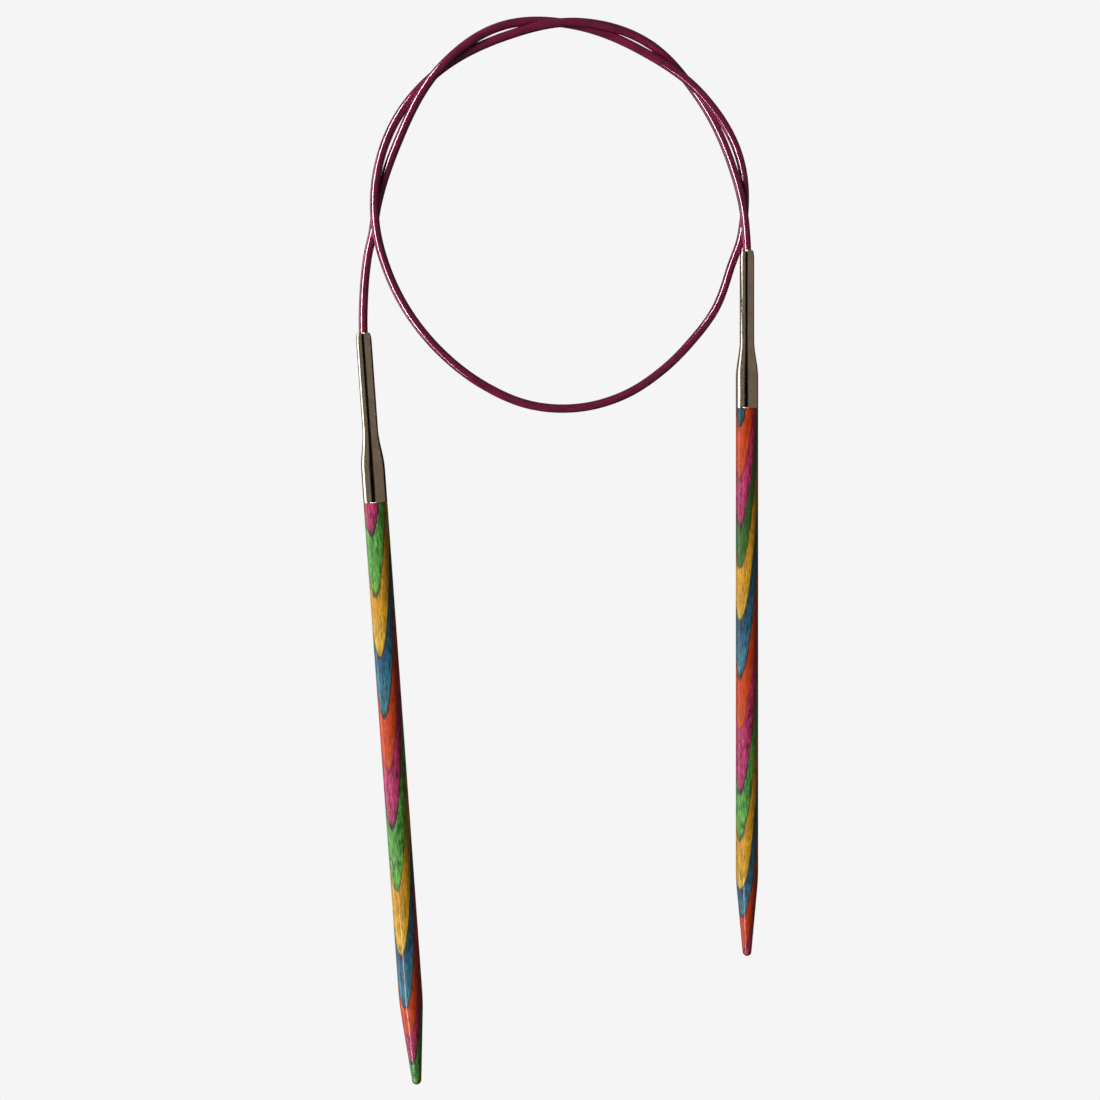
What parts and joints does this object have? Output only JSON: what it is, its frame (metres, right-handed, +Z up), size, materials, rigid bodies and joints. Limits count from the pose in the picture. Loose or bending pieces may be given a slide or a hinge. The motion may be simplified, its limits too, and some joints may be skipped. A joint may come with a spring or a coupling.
{
  "type": "circular knitting needle",
  "caption": "Fixed circular knitting needle: laminated wooden tips in metal ferrules, joined by a flexible nylon cable lying in a wound coil.",
  "frame": {"origin": "on the table, under the middle of the box round the two rigid tips", "axes": "+Z up from the table the needle lies on, +Y from the points towards the cable's coil, +X from the left tip to the right tip"},
  "size_m": [0.0723, 0.1832, 0.004],
  "materials": {
    "laminated_birch": "dyed veneers in magenta, green, amber, blue and orange-red, turned and lacquered",
    "nickel_plate": "polished nickel plate on drawn brass tube",
    "nylon_cable": "wine-purple extruded nylon, glossy",
    "crimp_brass": "bare pressed brass"
  },
  "bodies": {
    "cable": {"cable_coil": "nylon_cable"},
    "left_bend": {"left_cable_bend": "nylon_cable"},
    "left_tip": {"left_cable_end": "nylon_cable", "left_crimp_sleeve": "crimp_brass", "left_ferrule": "nickel_plate", "left_shaft": "laminated_birch"},
    "right_bend": {"right_cable_bend": "nylon_cable"},
    "right_tip": {"right_cable_end": "nylon_cable", "right_crimp_sleeve": "crimp_brass", "right_ferrule": "nickel_plate", "right_shaft": "laminated_birch"}
  },
  "joints": [
    {"name": "left_tip_swing", "type": "hinge", "parent": "cable", "child": "left_bend", "pos_m": [-0.03433, 0.06585, 0.00133], "axis": [0, 0, -1], "range_deg": [-10, 60], "stiffness_Nm_per_rad": 0.02},
    {"name": "left_tip_lift", "type": "hinge", "parent": "left_bend", "child": "left_tip", "pos_m": [-0.03489, 0.05884, 0.00189], "axis": [-0.9974, -0.0715, 0], "range_deg": [0, 60], "stiffness_Nm_per_rad": 0.02},
    {"name": "right_tip_swing", "type": "hinge", "parent": "cable", "child": "right_bend", "pos_m": [0.03385, 0.07552, 0.00231], "axis": [0, 0, 1], "range_deg": [0, 35], "stiffness_Nm_per_rad": 0.02},
    {"name": "right_tip_lift", "type": "hinge", "parent": "right_bend", "child": "right_tip", "pos_m": [0.0341, 0.07342, 0.00209], "axis": [-1, 0, 0], "range_deg": [0, 40], "stiffness_Nm_per_rad": 0.02}
  ]
}
